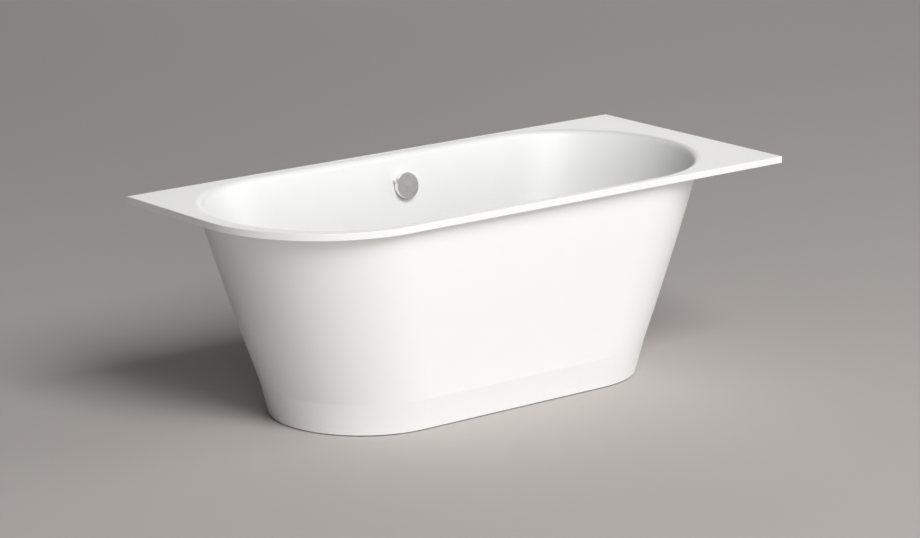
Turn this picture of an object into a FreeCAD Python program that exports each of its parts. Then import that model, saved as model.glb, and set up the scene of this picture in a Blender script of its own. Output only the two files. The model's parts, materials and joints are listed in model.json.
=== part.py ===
import FreeCAD, Part

import math
import os
from types import SimpleNamespace

import Sketcher

# Built-in bathtub: oval basin in a rectangular deck, tapering skirt, frame with feet,
# knob-operated drain set. Millimetres, Z up. The origin lies on the floor, below the
# middle of the deck. X runs along the long wall to the right, Y runs towards the rear wall.

SIZES = {
    # Deck and basin
    "tub_length": 1700.0,
    "tub_width": 750.0,
    "tub_height": 600.0,
    "deck_edge": 18.5,
    "deck_sheet": 5.0,
    "deck_lip": 5.0,
    "corner_radius": 375.0,
    "edge_round": 1.5,
    "rim_side": 34.0,
    "rim_left": 54.0,
    "rim_right": 106.0,
    "rim_round": 22.0,
    "floor_height": 150.0,
    "basin_wall": 5.5,
    "floor_side_inset": 91.0,
    "floor_end_inset": 205.0,
    "floor_round": 70.0,
    # Boards
    "board_gap": 0.3,
    "board_clearance": 1.5,
    "base_board_thick": 15.0,
    "base_board_inset": 56.0,
    "base_board_opening": 45.0,
    # Apron
    "apron_reveal": 9.0,
    "apron_wall": 4.0,
    "apron_side_taper": 67.0,
    "apron_end_taper": 176.0,
    "apron_side_bulge": 1.6,
    "apron_end_bulge": 4.0,
    "plinth_height": 92.0,
    "plinth_taper": 22.0,
    "floor_gap": 3.0,
    "bay_width": 500.0,
    # Frame
    "rail_size": 25.0,
    "rail_wall": 1.5,
    "rail_end_inset": 105.0,
    "rail_side_inset": 64.0,
    "crossbar_width": 30.0,
    "crossbar_height": 20.0,
    "crossbar_gap": 39.0,
    "crossbar_offset": 294.0,
    "screw_radius": 2.5,
    "screw_head_radius": 5.0,
    "screw_head_height": 3.5,
    "screw_bite": 10.0,
    "screw_spacing": 200.0,
    "bolt_radius": 3.0,
    "bolt_head_radius": 5.8,
    "bolt_head_height": 4.0,
    # Feet
    "foot_inset": 50.0,
    "stud_radius": 6.0,
    "stud_rise": 8.0,
    "thread_clearance": 0.05,
    "pad_radius": 25.0,
    "pad_height": 14.0,
    "pad_rim": 4.0,
    "pad_neck": 10.0,
    "pad_floor": 6.0,
    "nut_radius": 11.0,
    "nut_height": 8.0,
    # Apron brackets
    "bracket_width": 30.0,
    "bracket_thick": 3.0,
    "bracket_rise": 40.0,
    "bracket_seat": 34.0,
    "bracket_gap": 0.4,
    # Drain line, shared by the overflow and the waste
    "drain_line": 50.0,
    "fit_gap": 0.1,
    "pipe_radius": 15.0,
    "pipe_wall": 2.0,
    "pipe_bend": 60.0,
    "socket_wall": 3.0,
    "nut_wall": 2.8,
    "nut_length": 22.0,
    "cone_length": 3.0,
    # Overflow
    "overflow_drop": 92.0,
    "overflow_hole": 24.0,
    "knob_radius": 37.0,
    "knob_depth": 18.0,
    "knob_wall": 2.0,
    "knob_chamfer": 0.8,
    "knob_lift": 3.6,
    "knob_hub": 7.0,
    "lug_radius": 6.0,
    "lug_reach": 1.5,
    "lug_angle": 152.0,
    "spindle_radius": 4.0,
    "trim_radius": 33.0,
    "trim_thick": 3.0,
    "inlet_radius": 4.5,
    "inlet_circle": 17.0,
    "trim_screw_radius": 2.0,
    "trim_screw_head": 3.5,
    "trim_screw_length": 17.0,
    "boss_radius": 4.0,
    "boss_length": 9.0,
    "seal_thick": 3.0,
    "body_radius": 30.0,
    "body_wall": 3.0,
    "body_depth": 37.5,
    "hub_wall": 4.0,
    "hub_length": 4.0,
    "socket_depth": 19.0,
    "socket_reach": 58.0,
    "pipe_insert": 18.0,
    # Cable and its drum
    "wire_radius": 0.8,
    "wire_bore": 1.3,
    "sheath_radius": 2.5,
    "wire_line": 7.0,
    "wire_gap": 0.2,
    "wire_depth": 22.0,
    "drum_radius": 8.5,
    "drum_width": 6.0,
    "groove_width": 2.4,
    "wire_port_radius": 5.5,
    "wire_port_length": 11.0,
    "gland_radius": 7.0,
    "gland_length": 11.0,
    "wire_tail": 15.0,
    "cable_reach": 150.0,
    "clip_size": 12.0,
    "clip_drop": 176.0,
    # Waste
    "waste_hole": 24.0,
    "flange_radius": 35.0,
    "flange_thick": 2.0,
    "flange_proud": 0.8,
    "flange_neck": 23.0,
    "flange_bore": 19.5,
    "flange_neck_length": 26.8,
    "recess_radius": 36.5,
    "recess_depth": 2.2,
    "spider_height": 6.0,
    "spider_arm": 3.0,
    "spider_rise": 4.0,
    "top_seal_thick": 1.0,
    "head_radius": 38.0,
    "head_thick": 4.0,
    "neck_radius": 28.0,
    "trap_radius": 40.0,
    "trap_wall": 3.0,
    "trap_top": 108.0,
    "trap_foot": 18.5,
    "dip_radius": 20.0,
    "dip_foot": 28.0,
    "inlet_height": 82.0,
    "inlet_reach": 62.0,
    "cup_wall": 3.9,
    "cup_floor": 4.0,
    "cup_height": 24.0,
    "cup_seal_thick": 2.5,
    # Drain plug and its rocker
    "plug_radius": 31.0,
    "plug_thick": 4.4,
    "plug_chamfer": 1.4,
    "plug_gap": 0.3,
    "plug_seal_inner": 20.5,
    "plug_seal_outer": 27.0,
    "plug_seal_thick": 1.6,
    "stem_tip": 1.0,
    "stem_taper": 4.0,
    "axle_height": 104.0,
    "axle_offset": 10.0,
    "axle_radius": 2.0,
    "axle_bite": 18.6,
    "rocker_lean": 22.5,
    "rocker_lift_arm": 10.5,
    "rocker_pull_arm": 12.0,
    "rocker_thick": 3.0,
    "rocker_width": 8.0,
    "rocker_slot": 3.0,
    "nipple_radius": 2.4,
    "nipple_length": 2.0,
    "working_gap": 0.4,
    "lifter_port_radius": 8.0,
    "lifter_port_bore": 5.0,
    "lifter_port_reach": 55.0,
    "lifter_port_end": 7.0,
    # Outlet
    "outlet_height": 78.0,
    "outlet_radius": 20.0,
    "outlet_reach": 62.0,
    "outlet_insert": 12.0,
    "outlet_side": 110.0,
    "outlet_bend": 36.0,
    "bell_start": 55.0,
    "bell_end": 85.0,
    "bell_overlap": 25.0,
    "outlet_setback": 30.0,
    "spigot_length": 55.0,
    "bead_width": 3.0,
    "bead_height": 1.5,
    "pipe_clip_width": 15.0,
    # One overrun for every cut
    "overrun": 20.0,
}

# Share of the shorter run that a bend of the cable may use up.
BEND_SHARE = 0.45
FULL_TURN = 360
INLET_COUNT = 6
ARM_COUNT = 3
NODE_LIMIT = 60

document = FreeCAD.newDocument("bathtub")
sheet = document.addObject("Spreadsheet::Sheet", "Sizes")
for row, (alias, number) in enumerate(SIZES.items(), start=1):
    sheet.set("A%d" % row, alias)
    sheet.set("B%d" % row, str(number))
    sheet.setAlias("B%d" % row, alias)
document.recompute()


class Size:
    """A size that carries its value and the sheet formula that gives it."""

    def __init__(self, value, formula):
        self.value = value
        self.formula = formula

    def joined(self, sign, other, value):
        return Size(value, "(%s %s %s)" % (self.formula, sign, as_size(other).formula))

    def __add__(self, other):
        return self.joined("+", other, self.value + as_size(other).value)

    def __sub__(self, other):
        return self.joined("-", other, self.value - as_size(other).value)

    def __mul__(self, other):
        return self.joined("*", other, self.value * as_size(other).value)

    def __truediv__(self, other):
        return self.joined("/", other, self.value / as_size(other).value)

    def __rsub__(self, other):
        return as_size(other) - self

    def __neg__(self):
        return self * -1

    __radd__ = __add__
    __rmul__ = __mul__


def as_size(number):
    return number if isinstance(number, Size) else Size(float(number), "(%s)" % number)


def angle_of(rise, run):
    """Angle in degrees whose tangent is rise over run."""
    degrees = math.degrees(math.atan2(rise.value, run.value))
    return Size(degrees, "atan(%s / %s)" % (rise.formula, run.formula))


def sine(angle):
    return Size(math.sin(math.radians(angle.value)), "sin(%s)" % angle.formula)


def cosine(angle):
    return Size(math.cos(math.radians(angle.value)), "cos(%s)" % angle.formula)


def root(square):
    return Size(math.sqrt(square.value), "sqrt(%s)" % square.formula)


def larger(one, other):
    return Size(max(one.value, other.value), "max(%s; %s)" % (one.formula, other.formula))


s = SimpleNamespace(**{name: Size(number, "Sizes." + name) for name, number in SIZES.items()})

# Rotations that turn the Z axis of a primitive to another direction.
TURNS = {
    "z": FreeCAD.Rotation(),
    "-z": FreeCAD.Rotation(FreeCAD.Vector(1, 0, 0), 180),
    "x": FreeCAD.Rotation(FreeCAD.Vector(0, 1, 0), 90),
    "-x": FreeCAD.Rotation(FreeCAD.Vector(0, 1, 0), -90),
    "y": FreeCAD.Rotation(FreeCAD.Vector(1, 0, 0), -90),
    "-y": FreeCAD.Rotation(FreeCAD.Vector(1, 0, 0), 90),
}

pieces = []


def bind(thing, prop, size):
    thing.setExpression(prop, as_size(size).formula)


def move(thing, place, turn="z"):
    """Place a thing at three sizes, with its Z axis turned to a named direction."""
    thing.Placement = FreeCAD.Placement(FreeCAD.Vector(), TURNS[turn])
    for axis, size in zip("xyz", place):
        bind(thing, "Placement.Base." + axis, size)
    return thing


def piece(node, thing):
    """Keep a finished sub-part under its node name."""
    thing.Label = node
    pieces.append(thing)
    return thing


def block(name, low, high):
    thing = document.addObject("Part::Box", name)
    for prop, start, end in zip(("Length", "Width", "Height"), low, high):
        bind(thing, prop, as_size(end) - start)
    return move(thing, low)


def rod(name, radius, length, place, turn="z"):
    thing = document.addObject("Part::Cylinder", name)
    bind(thing, "Radius", radius)
    bind(thing, "Height", length)
    return move(thing, place, turn)


def hexagon(name, radius, height, place):
    thing = document.addObject("Part::Prism", name)
    thing.Polygon = 6
    bind(thing, "Circumradius", radius)
    bind(thing, "Height", height)
    return move(thing, place)


def fuse(name, things):
    if len(things) == 1:
        return things[0]
    thing = document.addObject("Part::MultiFuse", name)
    thing.Shapes = things
    return thing


def cut(name, base, tools):
    thing = document.addObject("Part::Cut", name)
    thing.Base = base
    thing.Tool = fuse(name + "_tools", tools)
    return thing


def group(name, things):
    """Separate solids that share one node."""
    thing = document.addObject("Part::Compound", name)
    thing.Links = things
    return thing


def new_body(name):
    return document.addObject("PartDesign::Body", name)


def new_sketch(body, name, plane, height=0):
    """Empty sketch on one of the body's own origin planes, lifted along its normal."""
    sketch = body.newObject("Sketcher::SketchObject", name)
    planes = {feature.Role: feature for feature in body.Origin.OriginFeatures}
    sketch.AttachmentSupport = [(planes[plane], "")]
    sketch.MapMode = "FlatFace"
    bind(sketch, "AttachmentOffset.Base.z", height)
    return sketch


def fix(sketch, kind, geometry, point, size):
    """Hold one point or radius of a sketch to a size."""
    size = as_size(size)
    if kind == "Radius":
        index = sketch.addConstraint(Sketcher.Constraint(kind, geometry, size.value))
    else:
        index = sketch.addConstraint(Sketcher.Constraint(kind, geometry, point, size.value))
    bind(sketch, "Constraints[%d]" % index, size)


def line(start, end):
    return Part.LineSegment(
        FreeCAD.Vector(as_size(start[0]).value, as_size(start[1]).value, 0),
        FreeCAD.Vector(as_size(end[0]).value, as_size(end[1]).value, 0),
    )


def polygon(body, name, plane, points, height=0):
    """Closed outline of straight lines through sized points."""
    sketch = new_sketch(body, name, plane, height)
    count = len(points)
    for index, point in enumerate(points):
        sketch.addGeometry(line(point, points[(index + 1) % count]), False)
    for index in range(count):
        sketch.addConstraint(Sketcher.Constraint("Coincident", index, 2, (index + 1) % count, 1))
    for index, point in enumerate(points):
        fix(sketch, "DistanceX", index, 1, point[0])
        fix(sketch, "DistanceY", index, 1, point[1])
    return sketch


def arc(centre, radius, start, end):
    circle = Part.Circle(
        FreeCAD.Vector(as_size(centre[0]).value, as_size(centre[1]).value, 0),
        FreeCAD.Vector(0, 0, 1),
        as_size(radius).value,
    )
    return Part.ArcOfCircle(circle, math.radians(start), math.radians(end))


def oval(body, name, height, left, right, radius):
    """Level outline of two half circles joined by straight sides."""
    sketch = new_sketch(body, name, "XY_Plane", height)
    start = left + radius
    end = right - radius
    sketch.addGeometry(
        [
            arc((start, 0), radius, 90, 270),
            line((start, -radius), (end, -radius)),
            arc((end, 0), radius, -90, 90),
            line((end, radius), (start, radius)),
        ],
        False,
    )
    for first, second, first_end, second_end in ((0, 1, 2, 1), (1, 2, 2, 1), (2, 3, 2, 1), (3, 0, 2, 1)):
        sketch.addConstraint(Sketcher.Constraint("Tangent", first, first_end, second, second_end))
    sketch.addConstraint(Sketcher.Constraint("Equal", 0, 2))
    sketch.addConstraint(Sketcher.Constraint("PointOnObject", 0, 3, -1))
    sketch.addConstraint(Sketcher.Constraint("PointOnObject", 2, 3, -1))
    fix(sketch, "Radius", 0, None, radius)
    fix(sketch, "DistanceX", 0, 3, start)
    fix(sketch, "DistanceX", 2, 3, end)
    return sketch


def deck_outline(body, name, height, inset):
    """Rectangle of the deck with its large front left corner, drawn in by an inset."""
    sketch = new_sketch(body, name, "XY_Plane", height)
    left = s.tub_length / -2 + inset
    right = s.tub_length / 2 - inset
    front = s.tub_width / -2 + inset
    rear = s.tub_width / 2 - inset
    radius = s.corner_radius - inset
    arc_x = left + radius
    arc_y = front + radius
    sketch.addGeometry(
        [
            line((left, rear), (left, arc_y)),
            arc((arc_x, arc_y), radius, 180, 270),
            line((arc_x, front), (right, front)),
            line((right, front), (right, rear)),
            line((right, rear), (left, rear)),
        ],
        False,
    )
    sketch.addConstraint(Sketcher.Constraint("Tangent", 0, 2, 1, 1))
    sketch.addConstraint(Sketcher.Constraint("Tangent", 1, 2, 2, 1))
    for index in (2, 3, 4):
        sketch.addConstraint(Sketcher.Constraint("Coincident", index, 2, (index + 1) % 5, 1))
    sketch.addConstraint(Sketcher.Constraint("Vertical", 0))
    sketch.addConstraint(Sketcher.Constraint("Horizontal", 2))
    sketch.addConstraint(Sketcher.Constraint("Vertical", 3))
    sketch.addConstraint(Sketcher.Constraint("Horizontal", 4))
    fix(sketch, "Radius", 1, None, radius)
    fix(sketch, "DistanceX", 0, 1, left)
    fix(sketch, "DistanceY", 0, 1, rear)
    fix(sketch, "DistanceX", 3, 1, right)
    fix(sketch, "DistanceY", 3, 1, front)
    return sketch


def pad(body, sketch, length):
    feature = body.newObject("PartDesign::Pad", "Pad")
    feature.Profile = sketch
    bind(feature, "Length", length)
    return feature


def pocket(body, sketch, length, upwards=False):
    feature = body.newObject("PartDesign::Pocket", "Pocket")
    feature.Profile = sketch
    feature.Reversed = upwards
    bind(feature, "Length", length)
    return feature


def loft(body, kind, sections, ruled=True):
    feature = body.newObject("PartDesign::" + kind, kind)
    feature.Profile = sections[0]
    feature.Sections = sections[1:]
    feature.Ruled = ruled
    return feature


def round_edges(body, base, radius, test):
    """Fillet those edges of the base feature that pass a test."""
    document.recompute()
    names = ["Edge%d" % (i + 1) for i, edge in enumerate(base.Shape.Edges) if test(edge)]
    if not names:
        raise RuntimeError("no edge to round on " + body.Name)
    feature = body.newObject("PartDesign::Fillet", "Fillet")
    feature.Base = (base, names)
    bind(feature, "Radius", radius)
    return feature


def turned(name, outline):
    """Solid of revolution about Z from sized points (radius, height)."""
    body = new_body(name)
    sketch = polygon(body, name + "_outline", "XZ_Plane", outline)
    feature = body.newObject("PartDesign::Revolution", "Revolution")
    feature.Profile = sketch
    feature.ReferenceAxis = (sketch, ["V_Axis"])
    feature.Angle = FULL_TURN
    return body


def ring(name, inner, outer, low, high):
    return turned(name, [(inner, low), (outer, low), (outer, high), (inner, high)])


def extruded(name, plane, outline, start, length):
    """Straight-sided solid from an outline, from a start along the plane's normal."""
    body = new_body(name)
    sketch = polygon(body, name + "_outline", plane, outline, start)
    pad(body, sketch, length)
    return body


# Places that several pieces share.

DECK_UNDERSIDE = s.tub_height - s.deck_edge
SHEET_UNDERSIDE = s.tub_height - s.deck_sheet
UNDER_RIM_ROUND = s.rim_round - s.deck_sheet
FLOOR_TOP = s.floor_height
BASIN_DEPTH = s.tub_height - s.floor_height
FLOOR_UNDERSIDE = FLOOR_TOP - s.basin_wall
OPENING_LEFT = s.tub_length / -2 + s.rim_left
OPENING_RIGHT = s.tub_length / 2 - s.rim_right
OPENING_RADIUS = s.tub_width / 2 - s.rim_side
OVAL_CENTRE = (OPENING_LEFT + OPENING_RIGHT) / 2
FLOOR_LEFT = OPENING_LEFT + s.floor_end_inset
FLOOR_RIGHT = OPENING_RIGHT - s.floor_end_inset
FLOOR_RADIUS = OPENING_RADIUS - s.floor_side_inset

# The side walls of the basin lean by this angle from upright.
WALL_RISE = angle_of(BASIN_DEPTH, s.floor_side_inset)
WALL_SLOPE = s.floor_side_inset / BASIN_DEPTH
LEAN_SINE = cosine(WALL_RISE)
LEAN_COSINE = sine(WALL_RISE)
WALL_THROUGH = s.basin_wall * LEAN_COSINE

OVERFLOW_HEIGHT = s.tub_height - s.overflow_drop
OVERFLOW_REAR = OPENING_RADIUS - s.overflow_drop * WALL_SLOPE

BOARD_UNDERSIDE = FLOOR_UNDERSIDE - s.base_board_thick
RAIL_UNDERSIDE = BOARD_UNDERSIDE - s.rail_size
CROSSBAR_UNDERSIDE = RAIL_UNDERSIDE - s.crossbar_height

BOARD_LEFT = FLOOR_LEFT + s.base_board_inset
BOARD_RIGHT = FLOOR_RIGHT - s.base_board_inset
BOARD_RADIUS = FLOOR_RADIUS - s.base_board_inset
RAIL_LENGTH = BOARD_RIGHT - BOARD_LEFT - s.rail_end_inset * 2
RAIL_OFFSET = BOARD_RADIUS - s.rail_side_inset

# The inner face of the skirt where the plinth begins.
SKIRT_LENGTH = OPENING_RIGHT - OPENING_LEFT + (s.apron_reveal - s.apron_end_taper - s.apron_wall) * 2
SKIRT_RADIUS = OPENING_RADIUS + s.apron_reveal - s.apron_side_taper - s.apron_wall
SKIRT_SLOPE = s.apron_side_taper / (DECK_UNDERSIDE - s.plinth_height)
CROSSBAR_REACH = SKIRT_RADIUS - s.crossbar_gap
FOOT_OFFSET = CROSSBAR_REACH - s.foot_inset

WIRE_HEIGHT = s.axle_height - s.rocker_pull_arm * cosine(s.rocker_lean)


def near(number, size):
    return abs(number - size.value) < s.fit_gap.value


def level_at(edge, height):
    middle = edge.valueAt((edge.FirstParameter + edge.LastParameter) / 2)
    return all(near(point.z, height) for point in [middle] + [v.Point for v in edge.Vertexes])


def on_deck_outline(edge, inset):
    """True for an edge on the outer outline of the deck, drawn in by an inset."""
    point = edge.valueAt((edge.FirstParameter + edge.LastParameter) / 2)
    half_length = s.tub_length / 2 - inset
    half_width = s.tub_width / 2 - inset
    radius = s.corner_radius - inset
    corner = FreeCAD.Vector((radius - half_length).value, (radius - half_width).value, point.z)
    on_corner = near(point.distanceToPoint(corner), radius)
    return near(abs(point.x), half_length) or near(abs(point.y), half_width) or on_corner


def at_wall(thing):
    """Turn a thing whose Z axis leaves the basin's rear wall at the overflow to its place."""
    thing.Placement = FreeCAD.Placement(FreeCAD.Vector(), TURNS["-y"])
    bind(thing, "Placement.Rotation.Angle", WALL_RISE)
    bind(thing, "Placement.Base.x", s.drain_line)
    bind(thing, "Placement.Base.y", OVERFLOW_REAR)
    bind(thing, "Placement.Base.z", OVERFLOW_HEIGHT)
    return thing


def wall_point(across, up, out):
    """World place of a point given across and up the wall and out of it at the overflow."""
    return FreeCAD.Vector(
        (s.drain_line + across).value,
        (OVERFLOW_REAR + up * LEAN_SINE - out * LEAN_COSINE).value,
        (OVERFLOW_HEIGHT + up * LEAN_COSINE + out * LEAN_SINE).value,
    )


def at_waste(thing, turn="z", height=0, across=0, back=0):
    """Stand a thing on the vertical axis of the waste."""
    return move(thing, (s.drain_line + across, back, height), turn)


RAIL_SIDES = (("front", -1), ("rear", 1))
CROSSBAR_ENDS = (("left", -1), ("right", 1))


def rail_screw_places(side):
    y = RAIL_OFFSET * side
    return [(OVAL_CENTRE + s.screw_spacing * step, y) for step in (-1, 0, 1)]


def frame_bolt_places(side):
    y = RAIL_OFFSET * side
    return [(OVAL_CENTRE + s.crossbar_offset * end, y) for _, end in CROSSBAR_ENDS]


# Basin and deck

def basin_form(name, height, top, foot_height, foot, rounding):
    """Solid oval form from its rim down to a floor with a rounded edge."""
    body = new_body(name)
    form = loft(body, "AdditiveLoft", [
        oval(body, name + "_rim", height, *top),
        oval(body, name + "_floor", foot_height, *foot),
    ])
    round_edges(body, form, rounding, lambda edge: level_at(edge, foot_height))
    return body


def tub_shell():
    deck = new_body("deck")
    pad(deck, deck_outline(deck, "deck_outline", DECK_UNDERSIDE, as_size(0)), s.deck_edge)
    under = deck_outline(deck, "deck_underside", DECK_UNDERSIDE, s.deck_lip)
    pocket(deck, under, s.deck_edge - s.deck_sheet, upwards=True)
    wall = s.basin_wall
    lower_side = wall - wall * s.floor_side_inset / BASIN_DEPTH
    lower_end = wall - wall * s.floor_end_inset / BASIN_DEPTH
    outside = basin_form(
        "basin_outside", s.tub_height, (OPENING_LEFT - wall, OPENING_RIGHT + wall, OPENING_RADIUS + wall),
        FLOOR_UNDERSIDE, (FLOOR_LEFT - lower_end, FLOOR_RIGHT + lower_end, FLOOR_RADIUS + lower_side),
        s.floor_round + wall)
    inside = basin_form(
        "basin_inside", s.tub_height, (OPENING_LEFT, OPENING_RIGHT, OPENING_RADIUS),
        FLOOR_TOP, (FLOOR_LEFT, FLOOR_RIGHT, FLOOR_RADIUS), s.floor_round)
    drill = rod("overflow_drill", s.overflow_hole, s.overrun * 2, (0, 0, -s.overrun))
    overflow = at_wall(group("overflow_opening", [drill]))
    waste = at_waste(rod("waste_opening", s.waste_hole, s.overrun * 2, (0, 0, 0)),
                     height=FLOOR_TOP - s.overrun)
    recess = at_waste(rod("waste_recess", s.recess_radius, s.overrun, (0, 0, 0)),
                      height=FLOOR_TOP - s.recess_depth)
    moulding = cut("moulding", fuse("moulding_outside", [deck, outside]),
                   [inside, overflow, waste, recess])
    document.recompute()
    body = new_body("shell_body")
    body.BaseFeature = moulding
    under_rim = round_edges(
        body, body.Tip, UNDER_RIM_ROUND,
        lambda edge: level_at(edge, SHEET_UNDERSIDE) and not on_deck_outline(edge, s.deck_lip))
    rim = round_edges(
        body, under_rim, s.rim_round,
        lambda edge: level_at(edge, s.tub_height) and not on_deck_outline(edge, as_size(0)))
    round_edges(body, rim, s.edge_round,
                lambda edge: level_at(edge, s.tub_height) and on_deck_outline(edge, as_size(0)))
    piece("tub_shell", body)


def deck_board():
    """Board under the deck, bevelled along the basin to clear the round below the rim."""
    body = new_body("deck_board")
    outline = deck_outline(body, "board", DECK_UNDERSIDE, s.deck_lip + s.board_gap)
    pad(body, outline, s.deck_edge - s.deck_sheet)
    around = s.basin_wall + s.board_clearance
    loft(body, "SubtractiveLoft", [
        oval(body, "basin_cutout_" + level, height, OPENING_LEFT - gap,
             OPENING_RIGHT + gap, OPENING_RADIUS + gap)
        for level, height, gap in (
            ("bottom", DECK_UNDERSIDE, around), ("top", SHEET_UNDERSIDE, around + UNDER_RIM_ROUND))
    ])
    piece("deck_board", body)


def base_board():
    """Board under the floor of the basin, with a pilot hole for each rail screw."""
    body = new_body("base_board_body")
    outline = oval(body, "board", BOARD_UNDERSIDE, BOARD_LEFT, BOARD_RIGHT, BOARD_RADIUS)
    pad(body, outline, s.base_board_thick)
    start = BOARD_UNDERSIDE - s.overrun
    drills = [at_waste(rod("board_opening", s.base_board_opening, s.overrun * 2, (0, 0, 0)),
                       height=start)]
    for _, side in RAIL_SIDES:
        drills += [rod("pilot_drill", s.screw_radius, s.overrun + s.screw_bite, (x, y, start))
                   for x, y in rail_screw_places(side)]
    piece("base_board", cut("base_board_cut", body, drills))


# Skirt below the deck

def apron_sections(body, name, skin):
    """Level sections of the skirt, drawn in by a wall thickness."""
    top_left = OPENING_LEFT - s.apron_reveal
    top_right = OPENING_RIGHT + s.apron_reveal
    top_radius = OPENING_RADIUS + s.apron_reveal
    end_bulge = s.apron_end_bulge - s.apron_end_taper / 2
    side_bulge = s.apron_side_bulge - s.apron_side_taper / 2
    foot_end = s.apron_end_taper + s.plinth_taper
    foot_side = s.apron_side_taper + s.plinth_taper
    levels = [
        ("foot", s.floor_gap, -foot_end, -foot_side),
        ("waist", s.plinth_height, -s.apron_end_taper, -s.apron_side_taper),
        ("middle", (s.plinth_height + DECK_UNDERSIDE) / 2, end_bulge, side_bulge),
        ("top", DECK_UNDERSIDE, as_size(0), as_size(0)),
    ]
    return [
        oval(body, name + "_" + level, height, top_left - end + skin,
             top_right + end - skin, top_radius + side - skin)
        for level, height, end, side in levels
    ]


def apron():
    body = new_body("apron")
    outer = apron_sections(body, "outer", as_size(0))
    loft(body, "AdditiveLoft", outer[:2])
    loft(body, "AdditiveLoft", outer[1:], ruled=False)
    inner = apron_sections(body, "inner", s.apron_wall)
    loft(body, "SubtractiveLoft", inner[:2])
    loft(body, "SubtractiveLoft", inner[1:], ruled=False)
    left = s.drain_line - s.bay_width / 2
    right = s.drain_line + s.bay_width / 2
    bay = polygon(body, "service_bay", "XZ_Plane", [
        (left, 0), (right, 0), (right, s.tub_height), (left, s.tub_height),
    ])
    pocket(body, bay, s.tub_width)
    piece("apron", body)


# Frame below the basin

def square_tube(name, low, high, along):
    """Hollow bar between two corners, open along one axis."""
    inner_low = list(low)
    inner_high = list(high)
    for axis in range(3):
        grow = -s.overrun if axis == along else s.rail_wall
        inner_low[axis] = inner_low[axis] + grow
        inner_high[axis] = inner_high[axis] - grow
    hollow = block(name + "_hollow", inner_low, inner_high)
    return cut(name + "_tube", block(name + "_bar", low, high), [hollow])


def rails():
    for name, side in RAIL_SIDES:
        y = RAIL_OFFSET * side
        low = [OVAL_CENTRE - RAIL_LENGTH / 2, y - s.rail_size / 2, RAIL_UNDERSIDE]
        high = [OVAL_CENTRE + RAIL_LENGTH / 2, y + s.rail_size / 2, BOARD_UNDERSIDE]
        tube = square_tube("rail_" + name, low, high, 0)
        start = RAIL_UNDERSIDE - s.overrun / 2
        drills = [rod("rail_drill", s.screw_radius, s.rail_size + s.overrun, (x, at, start))
                  for x, at in rail_screw_places(side)]
        drills += [rod("rail_drill", s.bolt_radius, s.rail_size + s.overrun, (x, at, start))
                   for x, at in frame_bolt_places(side)]
        piece("frame_rail_" + name, cut("rail_drilled_" + name, tube, drills))


def crossbars():
    for name, end in CROSSBAR_ENDS:
        x = OVAL_CENTRE + s.crossbar_offset * end
        low = [x - s.crossbar_width / 2, -CROSSBAR_REACH, CROSSBAR_UNDERSIDE]
        high = [x + s.crossbar_width / 2, CROSSBAR_REACH, RAIL_UNDERSIDE]
        tube = square_tube("crossbar_" + name, low, high, 1)
        start = CROSSBAR_UNDERSIDE - s.overrun / 2
        length = s.crossbar_height + s.overrun
        drills = []
        for _, side in RAIL_SIDES:
            drills.append(rod("bar_drill", s.bolt_radius, length, (x, RAIL_OFFSET * side, start)))
            drills.append(rod("bar_drill", s.stud_radius + s.thread_clearance, length,
                              (x, FOOT_OFFSET * side, start)))
            drills.append(rod("bar_drill", s.screw_radius, length,
                              (x, bracket_screw_line(side), start)))
        piece("frame_crossbar_" + name, cut("crossbar_drilled_" + name, tube, drills))


def headed_screw(name, radius, head_radius, head_height, place, length):
    """Screw pointing up, its head below the place and its shank above it."""
    x, y, z = place
    head = hexagon(name + "_head", head_radius, head_height, (x, y, z - head_height))
    shank = rod(name + "_shank", radius, length, place)
    return fuse(name, [head, shank])


def frame_fasteners():
    screws = []
    bolts = []
    for _, side in RAIL_SIDES:
        for x, y in rail_screw_places(side):
            screws.append(headed_screw(
                "rail_screw", s.screw_radius, s.screw_head_radius, s.screw_head_height,
                (x, y, RAIL_UNDERSIDE), s.rail_size + s.screw_bite))
        for x, y in frame_bolt_places(side):
            bolts.append(headed_screw(
                "frame_bolt", s.bolt_radius, s.bolt_head_radius, s.bolt_head_height,
                (x, y, CROSSBAR_UNDERSIDE), s.crossbar_height + s.rail_size))
    piece("rail_screws", group("rail_screw_set", screws))
    piece("frame_bolts", group("frame_bolt_set", bolts))


def feet():
    weld_nuts = []
    lock_nuts = []
    top = RAIL_UNDERSIDE + s.stud_rise
    for end_name, end in CROSSBAR_ENDS:
        for side_name, side in RAIL_SIDES:
            x = OVAL_CENTRE + s.crossbar_offset * end
            y = FOOT_OFFSET * side
            name = side_name + "_" + end_name
            stud = rod("foot_stud_" + name, s.stud_radius, top - s.pad_floor, (x, y, s.pad_floor))
            piece("foot_stud_" + name, stud)
            foot = turned("foot_pad_" + name, [
                (0, 0), (s.pad_radius, 0), (s.pad_radius, s.pad_rim), (s.pad_neck, s.pad_height),
                (s.stud_radius, s.pad_height), (s.stud_radius, s.pad_floor), (0, s.pad_floor),
            ])
            piece("foot_pad_" + name, move(foot, (x, y, 0)))
            for nuts, start in ((weld_nuts, RAIL_UNDERSIDE),
                                (lock_nuts, CROSSBAR_UNDERSIDE - s.nut_height)):
                nut = hexagon("foot_nut", s.nut_radius, s.nut_height, (x, y, start))
                thread = rod("nut_thread", s.stud_radius + s.thread_clearance,
                             s.nut_height + s.overrun, (x, y, start - s.overrun / 2))
                nuts.append(cut("foot_nut_cut", nut, [thread]))
    piece("foot_weld_nuts", group("weld_nut_set", weld_nuts))
    piece("foot_lock_nuts", group("lock_nut_set", lock_nuts))


def bracket_screw_line(side):
    """Distance of a bracket screw from the middle of the tub."""
    return (CROSSBAR_REACH - s.bracket_seat / 2) * side


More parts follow.
